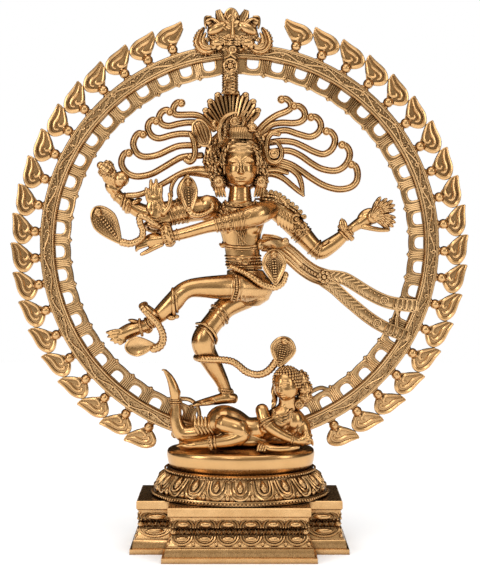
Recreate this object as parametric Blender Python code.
"""Brass nataraja statue with a ring of flames, on a stepped plinth.

The statue faces -Y and stands on z = 0, with its origin at the centre of its underside.
Everything below is in millimetres and is scaled to metres as each mesh is made.
"""
import math

import bmesh
import bpy
from mathutils import Matrix, Vector
from mathutils.bvhtree import BVHTree

MM = 0.001
GAP = 0.35                # clearance between pieces that sit on or in each other
TRIM = 0.3                # how far a neighbour is swelled before it cuts a piece
RING_GAP = 0.6            # clearance between faceted arcs, whose chords dip inside the true arc

# --- stepped plinth, lotus tier and oval slab ---------------------------------------------------
PLINTH_HEIGHT = 51.2
PLINTH_TOP_PLATE = 5.2
LOTUS_TOP = 78.0
LOTUS_TOP_PLATE = 4.5
SLAB_TOP = 97.2
SLAB_TOP_PLATE = 5.0
OVAL_SIDES = 32

# --- ring of flames -----------------------------------------------------------------------------
RING_Z = 286.6            # height of the ring's centre
RING_Y = 3.5              # depth of the ring's middle plane
BAND_OUTER = 189.5
BAND_INNER = 175.7
BAND_DEPTH = 9.0
BAND_END = 166.0          # degrees from the top to each end of the band
LATTICE_INNER = 161.5
LATTICE_DEPTH = 3.0
LATTICE_END = 159.0
CELLS = 42
CELL_STEP = 7.55
HOLE_RADIAL = 9.0
HOLE_SHARE = 0.62         # part of each cell that its hole takes
FLAMES = 19
FLAME_STEP = 7.53
FLAME_FIRST = {"left": 18.2, "right": 15.9}
FLAME_DEPTH = 5.0
BEAD_R = 4.7
BEAD_AT = 195.0

# --- fasteners hidden inside the hollow base ----------------------------------------------------
ROD_R = 4.0
ROD_BOTTOM = 34.0
ROD_TOP = 89.5
WASHER_R = 9.0
NUT_R = 7.5
SCREW_R = 2.5
SCREW_HEAD_R = 4.5
SCREW_X = 46.0
FOOT_PAD = (12.0, 6.0, 9.0)     # half width, half depth and height of each foot of the ring

BRASS = (0.50, 0.27, 0.08, 1.0)
STEEL = (0.45, 0.45, 0.46, 1.0)

SIDE = {"left": -1.0, "right": 1.0}      # left and right as the viewer sees them


# ------------------------------------------------------------------------------------ helpers
def clear_scene():
    for obj in list(bpy.data.objects):
        bpy.data.objects.remove(obj, do_unlink=True)


def make_material(name, colour, roughness):
    material = bpy.data.materials.new(name)
    material.use_nodes = True
    shader = material.node_tree.nodes["Principled BSDF"]
    shader.inputs["Base Color"].default_value = colour
    shader.inputs["Roughness"].default_value = roughness
    shader.inputs["Metallic"].default_value = 1.0
    return material


def add_object(name, data):
    obj = bpy.data.objects.new(name, data)
    PARTS.objects.link(obj)
    return obj


def to_mesh(obj):
    """Replace a curve, or an object with modifiers, by its evaluated mesh with welded caps."""
    bpy.context.view_layer.update()
    evaluated = obj.evaluated_get(bpy.context.evaluated_depsgraph_get())
    mesh = bpy.data.meshes.new_from_object(evaluated)
    bm = bmesh.new()
    bm.from_mesh(mesh)
    bmesh.ops.remove_doubles(bm, verts=bm.verts, dist=0.002 * MM)
    bmesh.ops.recalc_face_normals(bm, faces=bm.faces)
    bm.to_mesh(mesh)
    bm.free()
    solid = add_object(obj.name, mesh)
    solid.matrix_world = obj.matrix_world
    name = obj.name
    bpy.data.objects.remove(obj, do_unlink=True)
    solid.name = name
    return solid


def loft(name, sections):
    """Closed solid through rings of points, all with the same number of points."""
    bm = bmesh.new()
    rings = [[bm.verts.new(Vector(p) * MM) for p in ring] for ring in sections]
    count = len(rings[0])
    for low, high in zip(rings, rings[1:]):
        for i in range(count):
            j = (i + 1) % count
            bm.faces.new((low[i], low[j], high[j], high[i]))
    bm.faces.new(list(reversed(rings[0])))
    bm.faces.new(rings[-1])
    bmesh.ops.recalc_face_normals(bm, faces=bm.faces)
    mesh = bpy.data.meshes.new(name)
    bm.to_mesh(mesh)
    bm.free()
    return add_object(name, mesh)


def oval(z, rx, ry, sides=OVAL_SIDES, cx=0.0, cy=0.0):
    turn = 2 * math.pi / sides
    return [(cx + rx * math.cos(i * turn), cy + ry * math.sin(i * turn), z) for i in range(sides)]


def cross(z, block_x, block_y, wing_x, wing_y):
    """Plan of the plinth: a wide bar with a square block in front of and behind it."""
    quarter = [(wing_x, wing_y), (block_x, wing_y), (block_x, block_y)]
    points = [(x, y, z) for x, y in quarter]
    points += [(-x, y, z) for x, y in reversed(quarter)]
    points += [(-x, -y, z) for x, y in quarter]
    points += [(x, -y, z) for x, y in reversed(quarter)]
    return points


def tube(name, route, resolution=2):
    """Round limb along a route of (x, y, z, radius)."""
    curve = bpy.data.curves.new(name, "CURVE")
    curve.dimensions = "3D"
    curve.bevel_depth = MM
    curve.bevel_resolution = resolution
    curve.use_fill_caps = True
    curve.render_resolution_u = 0
    spline = curve.splines.new("POLY")
    spline.points.add(len(route) - 1)
    for point, (x, y, z, radius) in zip(spline.points, route):
        point.co = (x * MM, y * MM, z * MM, 1.0)
        point.radius = radius
    return to_mesh(add_object(name, curve))


def plate(name, outlines, y_middle, depth):
    """Flat piece standing in the XZ plane, cut to outlines of (x, z); later outlines are holes."""
    curve = bpy.data.curves.new(name, "CURVE")
    curve.dimensions = "2D"
    curve.fill_mode = "BOTH"
    curve.extrude = depth / 2 * MM
    curve.render_resolution_u = 0
    for outline in outlines:
        spline = curve.splines.new("POLY")
        spline.points.add(len(outline) - 1)
        for point, (x, z) in zip(spline.points, outline):
            point.co = (x * MM, z * MM, 0.0, 1.0)
        spline.use_cyclic_u = True
    flat = add_object(name, curve)
    flat.matrix_world = Matrix.Translation((0, y_middle * MM, 0)) @ Matrix.Rotation(math.pi / 2, 4, "X")
    flat = to_mesh(flat)
    flat.data.transform(flat.matrix_world)
    flat.matrix_world = Matrix.Identity(4)
    return flat


def ball(name, centre, radii, tilt=0.0, segments=10, rings=6):
    """Ellipsoid, tilted in the XZ plane by degrees towards the viewer's right."""
    bm = bmesh.new()
    bmesh.ops.create_uvsphere(bm, u_segments=segments, v_segments=rings, radius=MM)
    place = Matrix.Translation(Vector(centre) * MM) @ Matrix.Rotation(math.radians(tilt), 4, "Y")
    bm.transform(place @ Matrix.Diagonal((*radii, 1.0)))
    mesh = bpy.data.meshes.new(name)
    bm.to_mesh(mesh)
    bm.free()
    return add_object(name, mesh)


def upright(name, x, y, low, high, radius, sides=16):
    """Upright cylinder, or a hexagon with six sides."""
    bm = bmesh.new()
    bmesh.ops.create_cone(bm, cap_ends=True, segments=sides, radius1=radius * MM, radius2=radius * MM,
                          depth=(high - low) * MM)
    bm.transform(Matrix.Translation(Vector((x, y, (low + high) / 2)) * MM))
    mesh = bpy.data.meshes.new(name)
    bm.to_mesh(mesh)
    bm.free()
    return add_object(name, mesh)


def block(name, low, high):
    bm = bmesh.new()
    bmesh.ops.create_cube(bm, size=1.0)
    size = Vector(high) - Vector(low)
    middle = (Vector(high) + Vector(low)) / 2
    bm.transform(Matrix.Translation(middle * MM) @ Matrix.Diagonal((*(size * MM), 1.0)))
    mesh = bpy.data.meshes.new(name)
    bm.to_mesh(mesh)
    bm.free()
    return add_object(name, mesh)


def boolean(target, tool, operation):
    modifier = target.modifiers.new(operation.lower(), "BOOLEAN")
    modifier.operation = operation
    modifier.solver = "EXACT"
    modifier.object = tool
    return to_mesh(target)


def joined(name, pieces):
    """One body from overlapping closed pieces."""
    whole = pieces[0]
    for piece in pieces[1:]:
        whole = boolean(whole, piece, "UNION")
        bpy.data.objects.remove(piece, do_unlink=True)
    whole.name = name
    return whole


def surfaces_cross(one, other):
    trees = [BVHTree.FromPolygons([v.co for v in obj.data.vertices], [p.vertices for p in obj.data.polygons])
             for obj in (one, other)]
    return bool(trees[0].overlap(trees[1]))


def cut(target, cutters):
    for cutter in cutters:
        target = boolean(target, cutter, "DIFFERENCE")
        bpy.data.objects.remove(cutter, do_unlink=True)
    return target


def box_of(obj):
    points = [v.co for v in obj.data.vertices]
    low = Vector([min(p[i] for p in points) for i in range(3)])
    high = Vector([max(p[i] for p in points) for i in range(3)])
    return low, high


def boxes_meet(one, other):
    margin = 2 * TRIM * MM
    low_a, high_a = box_of(one)
    low_b, high_b = box_of(other)
    return all(low_a[i] - margin < high_b[i] and low_b[i] - margin < high_a[i] for i in range(3))


def swelled(obj):
    """Copy of a piece grown along its normals, to cut its neighbours with clearance."""
    mesh = obj.data.copy()
    bm = bmesh.new()
    bm.from_mesh(mesh)
    bm.normal_update()
    moves = [v.normal * v.calc_shell_factor() * TRIM * MM for v in bm.verts]
    for vert, move in zip(bm.verts, moves):
        vert.co += move.normalized() * min(move.length, 2 * TRIM * MM)
    bm.to_mesh(mesh)
    bm.free()
    return add_object("swelled", mesh)


def keep_largest(obj):
    """Drop the crumbs that a cut leaves, so that the piece is one body."""
    bm = bmesh.new()
    bm.from_mesh(obj.data)
    islands = []
    todo = set(bm.verts)
    while todo:
        stack = [todo.pop()]
        island = set(stack)
        while stack:
            for edge in stack.pop().link_edges:
                for vert in edge.verts:
                    if vert in todo:
                        todo.discard(vert)
                        island.add(vert)
                        stack.append(vert)
        islands.append(island)
    largest = max(islands, key=len)
    bmesh.ops.delete(bm, geom=[v for v in bm.verts if v not in largest], context="VERTS")
    bm.to_mesh(obj.data)
    bm.free()


def merge_flat_faces(obj):
    bm = bmesh.new()
    bm.from_mesh(obj.data)
    bmesh.ops.dissolve_limit(bm, angle_limit=math.radians(0.2), verts=bm.verts, edges=bm.edges)
    bm.to_mesh(obj.data)
    bm.free()


def finish_node(obj, material):
    """Cut a piece clear of the pieces made before it, then give it its material and parent."""
    for other in NODES:
        if not boxes_meet(obj, other):
            continue
        tool = swelled(other)
        if surfaces_cross(obj, tool):
            obj = cut(obj, [tool])
        else:
            bpy.data.objects.remove(tool, do_unlink=True)
    keep_largest(obj)
    merge_flat_faces(obj)
    obj.data.materials.clear()
    obj.data.materials.append(material)
    obj.data.shade_smooth()
    obj.data.set_sharp_from_angle(angle=math.radians(40))
    obj.parent = STATUE
    NODES.append(obj)
    return obj


# --------------------------------------------------------------------------------------- base
def build_plinth():
    outside = [cross(0, 70, 68, 101, 38), cross(5.4, 70, 68, 101, 38),
               cross(5.6, 67.2, 66, 98.5, 36), cross(13.5, 67.2, 66, 98.5, 36),
               cross(25, 61, 60, 92.5, 31), cross(31, 61, 60, 92.5, 31),
               cross(43, 62.4, 61, 93.5, 32.5), cross(43.2, 64.3, 63, 94.7, 34.5),
               cross(PLINTH_HEIGHT, 64.3, 63, 94.7, 34.5)]
    ceiling = PLINTH_HEIGHT - PLINTH_TOP_PLATE
    inside = [cross(-1, 64, 62, 95, 32), cross(12, 61, 60, 92, 30),
              cross(22, 55, 54, 87, 26.5), cross(ceiling, 55, 54, 87, 26.5)]
    plinth = cut(loft("base_plinth", outside),
                 [loft("cavity", inside), upright("bore", 0, 0, 40, 60, ROD_R + GAP)])
    finish_node(plinth, BRASS_MATERIAL)


def build_lotus():
    low = PLINTH_HEIGHT + GAP
    outside = [oval(low, 82, 59.5), oval(53, 83.6, 61), oval(57, 83.6, 61), oval(59, 80.5, 58.5),
               oval(66, 81, 58.5), oval(73, 76, 53.5), oval(74, 72.5, 50.5), oval(LOTUS_TOP, 71.5, 49.5)]
    ceiling = LOTUS_TOP - LOTUS_TOP_PLATE
    inside = [oval(low - 1, 77, 54), oval(66, 75, 52.5), oval(ceiling, 66, 44)]
    lotus = cut(loft("lotus_pedestal", outside),
                [loft("cavity", inside), upright("bore", 0, 0, 65, 85, ROD_R + GAP)])
    finish_node(lotus, BRASS_MATERIAL)


def build_slab():
    low = LOTUS_TOP + GAP
    outside = [oval(low, 66, 38), oval(80, 69, 40.8), oval(84, 70.5, 42), oval(92, 70.5, 42),
               oval(95.5, 69, 40.5), oval(SLAB_TOP, 65, 37)]
    ceiling = SLAB_TOP - SLAB_TOP_PLATE
    inside = [oval(low - 1, 62, 34), oval(ceiling, 61, 33)]
    slab = cut(loft("pedestal_slab", outside), [loft("cavity", inside)])
    slab = joined("pedestal_slab", [slab, upright("boss", 0, 0, low + 1, ceiling + 1, 2.3 * ROD_R)])
    holes = [upright("bore", 0, 0, 70, ROD_TOP + 1, ROD_R + GAP)]
    holes += [upright("hole", side * SCREW_X, RING_Y, 85, 105, SCREW_R + GAP) for side in SIDE.values()]
    finish_node(cut(slab, holes), BRASS_MATERIAL)


def build_fasteners():
    finish_node(upright("tie_rod", 0, 0, ROD_BOTTOM, ROD_TOP, ROD_R), STEEL_MATERIAL)
    ceiling = PLINTH_HEIGHT - PLINTH_TOP_PLATE
    washer_low = ceiling - GAP - 1.6
    nut_low = washer_low - GAP - 6.4
    washer = cut(upright("tie_washer", 0, 0, washer_low, ceiling - GAP, WASHER_R),
                 [upright("bore", 0, 0, 30, 60, ROD_R + GAP)])
    finish_node(washer, STEEL_MATERIAL)
    nut = cut(upright("tie_nut", 0, 0, nut_low, washer_low - GAP, NUT_R, sides=6),
              [upright("bore", 0, 0, 30, 60, ROD_R + GAP)])
    finish_node(nut, STEEL_MATERIAL)
    under_plate = SLAB_TOP - SLAB_TOP_PLATE - GAP
    for name, side in SIDE.items():
        x = side * SCREW_X
        shank = upright("shank", x, RING_Y, under_plate - 1, SLAB_TOP + 6.5, SCREW_R, sides=12)
        head = upright("head", x, RING_Y, under_plate - 3.2, under_plate, SCREW_HEAD_R, sides=12)
        finish_node(joined("arch_screw_" + name, [shank, head]), STEEL_MATERIAL)


# --------------------------------------------------------------------------- ring of flames
def on_ring(radius, degrees):
    """Point (x, z) at an angle from the top of the ring, clockwise as the viewer sees it."""
    angle = math.radians(degrees)
    return radius * math.sin(angle), RING_Z + radius * math.cos(angle)


def arc(radius, start, end, steps):
    return [on_ring(radius, start + (end - start) * i / steps) for i in range(steps + 1)]


def build_band():
    steps = 66
    outline = arc(BAND_OUTER, -BAND_END, BAND_END, steps) + arc(BAND_INNER, BAND_END, -BAND_END, steps)
    band = plate("arch_band", [outline], RING_Y, BAND_DEPTH)
    half_x, half_y, height = FOOT_PAD
    low = SLAB_TOP + GAP
    feet = [block("foot", (side * SCREW_X - half_x, RING_Y - half_y, low),
                  (side * SCREW_X + half_x, RING_Y + half_y, low + height)) for side in SIDE.values()]
    band = joined("arch_band", [band] + feet)
    holes = [upright("hole", side * SCREW_X, RING_Y, low - 1, low + 7, SCREW_R + GAP, sides=12)
             for side in SIDE.values()]
    finish_node(cut(band, holes), BRASS_MATERIAL)


def build_lattice():
    outer = BAND_INNER - RING_GAP
    outline = arc(outer, -LATTICE_END, LATTICE_END, CELLS)
    inner = arc(LATTICE_INNER, LATTICE_END, -LATTICE_END, CELLS)
    holes = []
    middle = (outer + LATTICE_INNER) / 2
    for cell in range(CELLS):
        centre = (cell - (CELLS - 1) / 2) * CELL_STEP
        half = HOLE_SHARE * CELL_STEP / 2
        low, high = middle - HOLE_RADIAL / 2, middle + HOLE_RADIAL / 2
        holes.append([on_ring(low, centre - half), on_ring(high, centre - half),
                      on_ring(high, centre + half), on_ring(low, centre + half)])
    finish_node(plate("arch_lattice", [outline + inner] + holes, RING_Y, LATTICE_DEPTH), BRASS_MATERIAL)


def flame_outline(side):
    """One flame on its bead: (along the ring towards the top, outwards) from the bead's centre."""
    foot = BAND_OUTER + 2.2 - BEAD_AT
    tongue = [(2.6, foot), (BEAD_R, 0.0), (4.4, 4.4), (11.5, 9.4), (14.6, 21.6), (7.6, 18.6), (-3.0, 19.4),
              (-10.0, 12.0), (-5.4, 4.4), (-BEAD_R, 0.0), (-2.6, foot)]
    return [(-side * along, out) for along, out in tongue]


def build_flames():
    for name, side in SIDE.items():
        first = FLAME_FIRST[name]
        last = first + FLAME_STEP * (FLAMES - 1)
        outline = []
        for index in range(FLAMES):
            centre = side * (first + FLAME_STEP * index)
            tongue = flame_outline(side)
            for along, out in tongue:
                radius = BEAD_AT + out
                outline.append(on_ring(radius, centre + math.degrees(along / radius)))
        root = BAND_OUTER + RING_GAP
        outline += arc(root, side * (last + 2), side * (first - 2), 28)
        finish_node(plate("flame_border_" + name, [outline], RING_Y, FLAME_DEPTH), BRASS_MATERIAL)


def build_mask():
    """Lion mask at the top of the ring, with a crown of three lobes, and its two side scrolls."""
    lobes = [ball("lobe", (x, 0.5, z), (7.5, 6, h)) for x, z, h in
             ((-21.5, 500, 7.5), (-7, 501.5, 8.0), (7.5, 500, 7.5))]
    face = ball("face", (-7, -1.5, 489), (25.0, 8.0, 14.0), segments=16, rings=8)
    nose = tube("nose", [(-6.7, -6, 494, 2.2), (-6.7, -10, 486, 3.2), (-6.7, -6, 480.7, 2.5)])
    jaw = ball("jaw", (-7.4, -2.3, 478.6), (12, 6.5, 6.2))
    finish_node(joined("kirtimukha_mask", [face, jaw, nose] + lobes), BRASS_MATERIAL)
    for name, side in SIDE.items():
        middle = -6.5 + side * 28.0
        scroll = [(-6, -0.5, 477, 2.8), (-1, -2.0, 471.5, 3.6), (6, -1.5, 471.5, 4.0), (9, -0.5, 478, 4.2),
                  (6.5, 0.5, 485, 3.6), (2, 1.0, 490, 2.0)]
        route = [(middle + side * x, y, z, r) for x, y, z, r in scroll]
        finish_node(tube("mask_scroll_" + name, route), BRASS_MATERIAL)


def build_column():
    sections = [oval(z, 7.3, 2.6, sides=14, cx=-8.6, cy=-4.2) for z in (428.5, 441, 449, 463, 476)]
    roundel = ball("roundel", (-8.6, -6.4, 456), (6, 2.2, 6))
    finish_node(joined("plume_column", [loft("plume_column", sections), roundel]), BRASS_MATERIAL)


# -------------------------------------------------------------------------------------- figure
def build_head():
    head = ball("head", (1.4, -6, 363.5), (15.4, 17, 21.5), segments=16, rings=10)
    neck = tube("neck", [(1.0, -3, 350, 10.0), (0.6, -3, 340, 10.2), (0.4, -3, 328.4, 10.8)], resolution=3)
    finish_node(joined("head", [head, neck]), BRASS_MATERIAL)


def build_torso():
    sections = [oval(263.4, 17.0, 11.5, 18, 5.0, -4), oval(270, 16, 11, 18, 4, -4),
                oval(283, 16.5, 11, 18, 2.6, -4), oval(297, 19, 12, 18, 1.5, -4),
                oval(312, 24, 13, 18, 1, -4), oval(320, 23, 12, 18, 1, -3.5),
                oval(328, 14, 10, 18, 0.5, -3)]
    finish_node(loft("torso", sections), BRASS_MATERIAL)


def build_hips():
    sections = [oval(229, 11, 9, 18, 8, -4), oval(235, 19, 14.5, 18, 9, -4), oval(246, 21.5, 15.5, 18, 10, -4),
                oval(256, 19.5, 13.5, 18, 7.5, -4), oval(263, 17.2, 11.8, 18, 5, -4)]
    finish_node(loft("hip_cloth", sections), BRASS_MATERIAL)


def build_demon():
    body = tube("body", [(-24, -14, 112, 10), (-15, -14, 116, 16), (-4, -15, 114, 15), (12, -17, 112, 11),
                         (30, -20, 118, 13), (40, -21, 126, 12), (44, -20, 134, 8)], resolution=3)
    finish_node(body, BRASS_MATERIAL).name = "demon_body"
    head = joined("demon_head", [ball("head", (49, -22, 153), (12.5, 13, 15.5)),
                                 tube("curls", [(56, -16, 160, 8), (60, -16, 148, 7), (60, -15, 139, 4.5)])])
    finish_node(head, BRASS_MATERIAL)
    arm = tube("demon_arm", [(22, -28, 134, 6), (25, -32, 124, 5.6), (29, -35, 112, 5), (44, -35, 107, 4.4),
                             (60, -34, 102.5, 3.2)])
    finish_node(arm, BRASS_MATERIAL)
    rear_arm = tube("demon_rear_arm", [(48, -14, 132, 6), (58, -14, 122, 5), (63, -22, 108, 4.2),
                                       (66, -26, 101.5, 3)])
    finish_node(rear_arm, BRASS_MATERIAL)
    thigh = tube("thigh", [(-12, -28, 118, 10), (4, -33, 108, 8.0), (7, -33.5, 106, 5.6)])
    shin = tube("shin", [(4, -33, 106, 7.2), (-12, -35, 104, 6.2), (-30, -34, 102.8, 4.8), (-38, -33, 102, 4.2),
                         (-53, -30, 100.6, 2.8)])
    finish_node(joined("demon_folded_leg", [thigh, shin]), BRASS_MATERIAL)
    raised = tube("demon_raised_leg", [(-26, -12, 112, 8.5), (-42, -12, 107, 8), (-56, -13, 109, 7.2),
                                       (-58.5, -13, 122, 6), (-58, -14, 134, 4.6), (-57, -14, 142, 4.2),
                                       (-58.5, -14, 149, 4.6), (-64, -15, 158, 3.6), (-69.5, -15, 167, 2.2)])
    finish_node(raised, BRASS_MATERIAL)


def build_legs():
    standing = tube("standing_leg", [(5, -3, 236, 12), (-8, -6, 224, 12.5), (-22, -12, 206, 11.4),
                                     (-34.5, -16, 190, 11), (-30, -13, 176, 10), (-21, -7, 160, 8),
                                     (-13.5, -3, 147, 6.2), (-11.5, -3, 140, 6.4)], resolution=3)
    foot = tube("foot", [(-6.5, -2, 139, 5.6), (-16, -4, 138.5, 6), (-30, -7, 136.5, 4.8),
                         (-43, -10, 135, 3.0)])
    finish_node(joined("standing_leg", [standing, foot]), BRASS_MATERIAL)
    raised = tube("raised_leg", [(16, -8, 247, 12), (-5, -18, 248.5, 12), (-30, -29, 247.5, 11),
                                 (-50, -37, 246.5, 9.8), (-57, -38, 241, 9.4), (-66, -37.5, 232, 8.8),
                                 (-76, -36, 222, 7.2), (-87, -34, 210.5, 5.4)], resolution=3)
    raised_foot = tube("raised_foot", [(-84.5, -33, 206, 5.4), (-95, -34, 207, 5.4), (-109, -35, 204.5, 4.4),
                                       (-123, -36, 201.5, 2.8)])
    finish_node(joined("raised_leg", [raised, raised_foot]), BRASS_MATERIAL)


def build_arms():
    front_left = tube("front_left_arm", [(31, -8, 319, 11), (18, -18, 315, 11), (4, -24, 311, 10),
                                         (-14, -28, 307.5, 9), (-34, -29.5, 302, 8), (-52, -30, 297, 6.6),
                                         (-65, -30, 293.6, 5.4), (-70, -30, 292.4, 5.0)], resolution=3)
    hand = joined("hand", [ball("palm", (-78, -30, 290.3), (11, 4, 6.2), tilt=-12),
                           tube("fingers", [(-86, -30, 289, 4.2), (-92, -30.5, 285.5, 3.4), (-94, -31, 276.5, 2)])])
    finish_node(joined("front_left_arm", [front_left, hand]), BRASS_MATERIAL)
    front_right = tube("front_right_arm", [(-27, -7, 320, 10), (-50, -16, 311, 8.6), (-66, -22, 306, 7.8),
                                           (-77.5, -26, 305, 6.6), (-80, -29, 311, 5.4),
                                           (-79, -30, 315, 5.0)], resolution=3)
    palm = joined("palm", [ball("palm", (-77.5, -30, 323), (7.8, 3.6, 9)),
                           ball("fingers", (-79, -30, 336), (6.6, 2.8, 11)),
                           tube("thumb", [(-72, -31, 322, 3), (-66.5, -32, 328, 2.4), (-65, -32, 332, 1.8)])])
    finish_node(joined("front_right_arm", [front_right, palm]), BRASS_MATERIAL)
    rear_right = tube("rear_right_arm", [(-27, 2, 322, 8), (-44, 6, 317, 8), (-60, 8, 314, 8),
                                         (-80, 8, 314.5, 7.6), (-94, 8, 317, 7), (-106, 8, 323.5, 5.8),
                                         (-119, 8, 334, 4.8)], resolution=3)
    rear_hand = joined("rear_hand", [ball("palm", (-122.5, 7, 338.5), (6.5, 5, 9), tilt=-38),
                                     tube("finger", [(-127, 5, 343, 2.6), (-132, 3, 349, 2.0),
                                                     (-131, 2, 354, 1.6)])])
    finish_node(joined("rear_right_arm", [rear_right, rear_hand]), BRASS_MATERIAL)
    rear_left = tube("rear_left_arm", [(31, 3, 323, 9), (42, 5, 313.5, 9.2), (56, 7, 297, 8.8),
                                       (70, 8, 279, 8), (75.5, 8, 276.5, 7.8), (84, 8, 283, 7.4),
                                       (97, 8, 293, 6), (113, 7.5, 304.5, 4.6)], resolution=3)
    rear_palm = ball("rear_palm", (117, 7, 307), (9.5, 4.5, 6), tilt=-32)
    finish_node(joined("rear_left_arm", [rear_left, rear_palm]), BRASS_MATERIAL)


def build_attributes():
    """Hand drum and fire that the rear hands hold."""
    drum = tube("hand_drum", [(-114.5, 3, 350, 6), (-117, 3, 352.5, 6.2), (-121.5, 3, 355.8, 3.6),
                              (-126, 3, 359, 6.2), (-128.5, 3, 361, 6)])
    finish_node(drum, BRASS_MATERIAL)
    tongues = [tube("tongue", [(122, 6, 309, 4.5), (122 + 11 * c, 6, 309 + 11 * s, 4.4),
                               (122 + 21 * c, 6, 309 + 21 * s, 1.6)])
               for c, s in ((math.cos(math.radians(a)), math.sin(math.radians(a))) for a in (14, 38, 62, 86))]
    finish_node(joined("hand_fire", tongues), BRASS_MATERIAL)
    fringe = tube("shoulder_fringe", [(27, 4, 337, 4), (38, 6, 333, 5), (50, 8, 322, 4.5), (61, 9, 311, 3)])
    finish_node(fringe, BRASS_MATERIAL)


# ------------------------------------------------------------------------------ hair and crown
def build_headdress():
    cap = ball("headdress", (0.5, -4, 384), (18, 17.5, 12.5), segments=16, rings=8)
    knot = tube("knot", [(-1, -2, 388, 10.5), (-3, -1, 397, 9.5), (-5, 0, 405, 7)], resolution=3)
    finish_node(joined("headdress", [cap, knot]), BRASS_MATERIAL)
    curl = tube("crown_ornament", [(-19, -15, 385, 2.2), (-15.5, -16, 395, 2.4), (-15, -15, 403, 2.6),
                                   (-10, -14, 409, 2.8), (-3, -13, 409, 2.8), (2, -13, 404, 2.8)])
    jewel = ball("jewel", (-4.6, -11, 402), (5.5, 5, 5.5))
    bridge = tube("bridge", [(-14, -13, 402, 2), (-4.6, -10, 402, 2.5), (2, -12, 404, 2)])
    finish_node(joined("crown_ornament", [curl, jewel, bridge]), BRASS_MATERIAL)


def feather_tips():
    """Angle from upright and tip radius of each feather of the fan."""
    half = [(5.2, 47.5), (16.0, 47.0), (27.3, 43.6), (38.7, 40.2)]
    return [(-a, r) for a, r in reversed(half)] + half


def build_plume():
    apex_x, apex_z = -7.3, 385.0
    outline = []
    for angle, radius in feather_tips():
        for turn, out in ((-5.2, -4.0), (-3.4, -0.8), (0.0, 0.0), (3.4, -0.8), (5.2, -4.0)):
            at = math.radians(angle + turn)
            outline.append((apex_x + (radius + out) * math.sin(at), apex_z + (radius + out) * math.cos(at)))
    outline += [(apex_x + 6, apex_z + 6), (apex_x - 6, apex_z + 6)]
    finish_node(plate("feather_plume", [outline], 1.6, 4.4), BRASS_MATERIAL)


def lock_route(side, root, centre, radius, sweep=235.0, thick=2.4):
    """Lock of hair: out from the head, over the top of its loop and round into a hook."""
    x0, z0 = root
    cx, cz = centre
    start = Vector((x0, z0))
    top = Vector((cx - side * radius * 0.35, cz + radius * 0.94))
    lift = Vector((x0 + (cx - x0) * 0.45, max(z0, cz) + radius * 0.55))
    route = []
    for i in range(4):
        t = i / 4
        at = start * (1 - t) ** 2 + lift * 2 * t * (1 - t) + top * t ** 2
        route.append((at.x, 4.0 - 3.0 * t, at.y, thick))
    steps = 7
    for i in range(steps + 1):
        angle = math.radians(110 - sweep * i / steps)
        route.append((cx + side * radius * math.cos(angle), 1.0 - 1.5 * i / steps,
                      cz + radius * math.sin(angle), thick))
    return route


def build_hair():
    left = [((-27, 396), (-55.6, 415.3), 6.7), ((-30, 391), (-67.5, 406.7), 8.2),
            ((-30, 386), (-78, 394.9), 8.7), ((-30, 379), (-89.8, 380.1), 11.0),
            ((-30, 370), (-99.3, 362.5), 12.3)]
    right = [((15, 392), (44.7, 419.6), 5.7), ((18, 389), (54.6, 409.6), 8.5),
             ((24, 387), (68.9, 397.2), 9.0), ((26, 382), (81.2, 383), 10.2),
             ((28, 374), (92.2, 368.7), 12.2), ((28, 364), (99.8, 351.6), 12.8)]
    tails = {"left": [(-27, 3, 354, 2.6), (-44, 2, 356, 2.6), (-62, 1, 348, 2.6), (-82, 0, 337, 2.4),
                      (-102, -1, 332, 2.0)],
             "right": [(25, 3, 356, 2.6), (38, 2, 350, 3.2), (50, 1, 340, 3.2), (60, 0, 333, 2.4)]}
    masses = {"left": [(-19, 4, 386, 7), (-25, 4, 376, 8), (-24, 4, 360, 7.5), (-20, 4, 345, 6),
                       (-17, 3, 333, 4)],
              "right": [(17, 4, 386, 7), (22, 4, 376, 8), (24, 4, 360, 7), (22, 4, 345, 6),
                        (19, 3, 333, 4)]}
    for name, locks in (("left", left), ("right", right)):
        side = SIDE[name]
        strands = [tube("lock", lock_route(side, *lock), resolution=1) for lock in locks]
        strands.append(tube("tail", tails[name], resolution=1))
        mass = tube("mass", masses[name], resolution=2)
        finish_node(joined("hair_locks_" + name, [mass] + strands), BRASS_MATERIAL)
    finish_node(ball("hair_leaf", (-35.5, -4, 392), (7.0, 3.2, 12.5), tilt=-22), BRASS_MATERIAL)
    figurine = joined("crown_figurine", [ball("body", (11.8, -12, 396), (3.6, 3, 5)),
                                         ball("figurine_head", (11.8, -12, 402), (2.2, 2.2, 2.6))])
    finish_node(figurine, BRASS_MATERIAL)


# ---------------------------------------------------------------------------- cobras and sash
def build_cobra(name, route, hood_centre, hood_radii, tilt=0.0):
    finish_node(joined(name, [ball("hood", hood_centre, hood_radii, tilt), tube("body", route)]),
                BRASS_MATERIAL)


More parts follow.
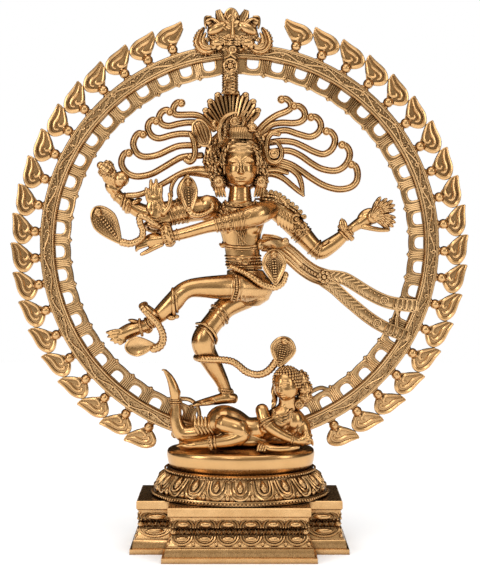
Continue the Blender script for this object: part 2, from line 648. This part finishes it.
def build_cobras():
    build_cobra("wrist_cobra", [(-84, -38, 297, 3), (-90, -38, 304, 3.2), (-98, -37, 299, 3.4),
                                (-103, -36, 290, 3.4), (-112, -36, 294, 3.4), (-120, -36, 304, 3.6)],
                (-127, -37, 314), (14.5, 4, 18), -12)
    build_cobra("shoulder_cobra", [(-55, -26, 317, 3.4), (-50, -22, 324, 3.4), (-46, -18, 332, 4)],
                (-44, -17, 336), (8, 4, 15), -8)
    build_cobra("waist_cobra", [(2, -20, 266, 2.8), (10, -23, 258, 3), (21, -23, 251, 3.2), (33, -20, 252, 3.4),
                                (43, -17, 260, 3.4), (40, -19, 268, 3.6)],
                (33.4, -22, 271), (11.5, 4.5, 15))
    build_cobra("shin_cobra", [(-62, -48, 236, 2.8), (-75, -49, 236, 3), (-83, -47, 229, 3),
                               (-80, -46, 218, 3), (-73, -45, 208, 3), (-72, -44, 198, 3.2), (-80, -43, 193, 3.4)],
                (-91, -42, 192), (13, 3.6, 8.8))
    build_cobra("leg_cobra", [(-36, -30, 180, 3), (-24, -27, 175, 3.2), (-10, -22, 173, 3.2), (4, -20, 168, 3.4),
                              (16, -19, 163, 3.4), (26, -19, 167, 3.6), (34, -20, 176, 4)],
                (40, -21, 186), (12.3, 4.5, 13.6), 6)


def ribbon(name, route, half_width, half_thick=1.4):
    """Flat strap along a route of (x, y, z), standing in the XZ plane."""
    sections = []
    last = len(route) - 1
    for i, point in enumerate(route):
        before = Vector(route[max(i - 1, 0)])
        after = Vector(route[min(i + 1, last)])
        along = after - before
        across = Vector((-along.z, 0, along.x)).normalized() * half_width
        face = Vector((0, half_thick, 0))
        centre = Vector(point)
        sections.append([centre - across - face, centre + across - face,
                         centre + across + face, centre - across + face])
    return loft(name, sections)


def build_sash():
    knot = tube("knot", [(20, -10, 288.5, 4.5), (32, -12, 289, 5), (41, -11, 288, 5)])
    shared = ribbon("shared", [(39, -9, 288), (50, -8, 281), (61, -6, 270), (73, -4, 261), (86, -2, 253)], 7.5)
    upper = ribbon("upper", [(82, -2.6, 257), (95, -1, 256.5), (108, 0, 252.5), (120, 0, 245), (132, 0, 238),
                             (146, 0, 232), (159, 0, 229), (170, 0, 228)], 5.6)
    lower = ribbon("lower", [(80, -2.4, 256), (91, -1.4, 246), (103, 0, 233.5), (116, 0, 223), (130, 0, 214.5),
                             (146, 0, 206.5), (161, 0, 198.5)], 5.8)
    finish_node(joined("sash", [shared, upper, lower, knot]), BRASS_MATERIAL)


def build_all():
    build_plinth()
    build_lotus()
    build_slab()
    build_fasteners()
    build_band()
    build_lattice()
    build_flames()
    build_column()
    build_mask()
    build_torso()
    build_hips()
    build_head()
    build_demon()
    build_legs()
    build_arms()
    build_headdress()
    build_plume()
    build_hair()
    build_attributes()
    build_cobras()
    build_sash()


clear_scene()
PARTS = bpy.data.collections.new("nataraja_statue")
bpy.context.scene.collection.children.link(PARTS)
STATUE = add_object("nataraja_statue", None)
NODES = []
BRASS_MATERIAL = make_material("brass", BRASS, 0.32)
STEEL_MATERIAL = make_material("steel", STEEL, 0.4)
build_all()
